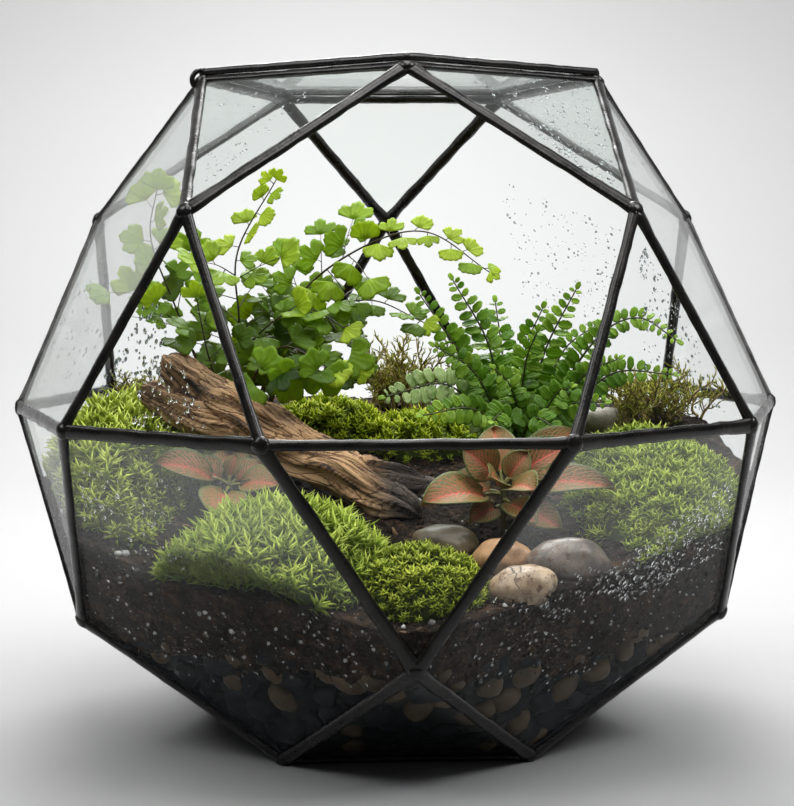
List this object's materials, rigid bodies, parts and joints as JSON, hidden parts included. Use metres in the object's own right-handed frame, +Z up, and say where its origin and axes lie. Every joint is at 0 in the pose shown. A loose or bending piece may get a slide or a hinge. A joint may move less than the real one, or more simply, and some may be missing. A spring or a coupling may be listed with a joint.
{
  "type": "glass plant terrarium",
  "caption": "Planted geometric glass terrarium with soldered seams, an open front window, and ferns, moss, driftwood and stones on soil over gravel.",
  "frame": {"origin": "middle of the vessel's box, on the surface that the vessel stands on", "axes": "+Z up, -Y towards the open front window, +X to the right as seen from the front"},
  "size_m": [0.3478, 0.3318, 0.29],
  "materials": {
    "button_fern": "satin mid-green rounded leaflets on green-brown stalks",
    "driftwood": "weathered brown driftwood with deep grain, charred dark at the low end",
    "glass": "clear float glass with a faint grey-green tint",
    "gravel": "blue-black slate chips and tan river pebbles, damp",
    "maidenhair": "thin soft bright yellow-green fan leaflets on black wiry stalks",
    "moss": "living moss, bright green tips over dark olive",
    "nerve_plant": "olive-green leaves with orange-pink veins and red-brown backs",
    "river_stone": "smooth satin river stones, brown, orange-tan and grey",
    "soil": "damp dark potting soil with pale perlite grains and bark bits",
    "soldered_seam": "black patina over lead-free solder, slightly lumpy, worn to grey metal along the ridges",
    "sprigs": "thin brown-green twiggy sprigs"
  },
  "bodies": {
    "root": {"button_fern_left": "button_fern", "button_fern_low": "button_fern", "button_fern_right": "button_fern", "button_fern_tall": "button_fern", "driftwood": "driftwood", "frame": "soldered_seam", "gravel_bed": "gravel", "maidenhair_arch": "maidenhair", "maidenhair_left": "maidenhair", "maidenhair_low": "maidenhair", "maidenhair_middle": "maidenhair", "maidenhair_tall": "maidenhair", "moss_cushions": "moss", "moss_front_centre": "moss", "moss_front_left": "moss", "moss_left_bank": "moss", "moss_right_bank": "moss", "nerve_plant_left": "nerve_plant", "nerve_plant_right": "nerve_plant", "pane_base": "glass", "pane_crown_front_left": "glass", "pane_crown_front_right": "glass", "pane_crown_left_rear": "glass", "pane_crown_rear": "glass", "pane_crown_right_rear": "glass", "pane_foot_front": "glass", "pane_foot_left": "glass", "pane_foot_rear_left": "glass", "pane_foot_rear_right": "glass", "pane_foot_right": "glass", "pane_hip_front": "glass", "pane_hip_left": "glass", "pane_hip_rear_left": "glass", "pane_hip_rear_right": "glass", "pane_hip_right": "glass", "pane_lower_front_left": "glass", "pane_lower_front_right": "glass", "pane_lower_left_rear": "glass", "pane_lower_rear": "glass", "pane_lower_right_rear": "glass", "pane_shoulder_front_left": "glass", "pane_shoulder_front_right": "glass", "pane_shoulder_left_rear": "glass", "pane_shoulder_rear": "glass", "pane_shoulder_right_rear": "glass", "pane_top": "glass", "pane_upper_left": "glass", "pane_upper_rear_left": "glass", "pane_upper_rear_right": "glass", "pane_upper_right": "glass", "soil": "soil", "sprigs_left": "sprigs", "sprigs_rear": "sprigs", "sprigs_right": "sprigs", "stone_dark_brown": "river_stone", "stone_grey_brown": "river_stone", "stone_grey_rear": "river_stone", "stone_mottled_tan": "river_stone", "stone_orange_tan": "river_stone", "top_band": "soldered_seam"}
  },
  "joints": []
}
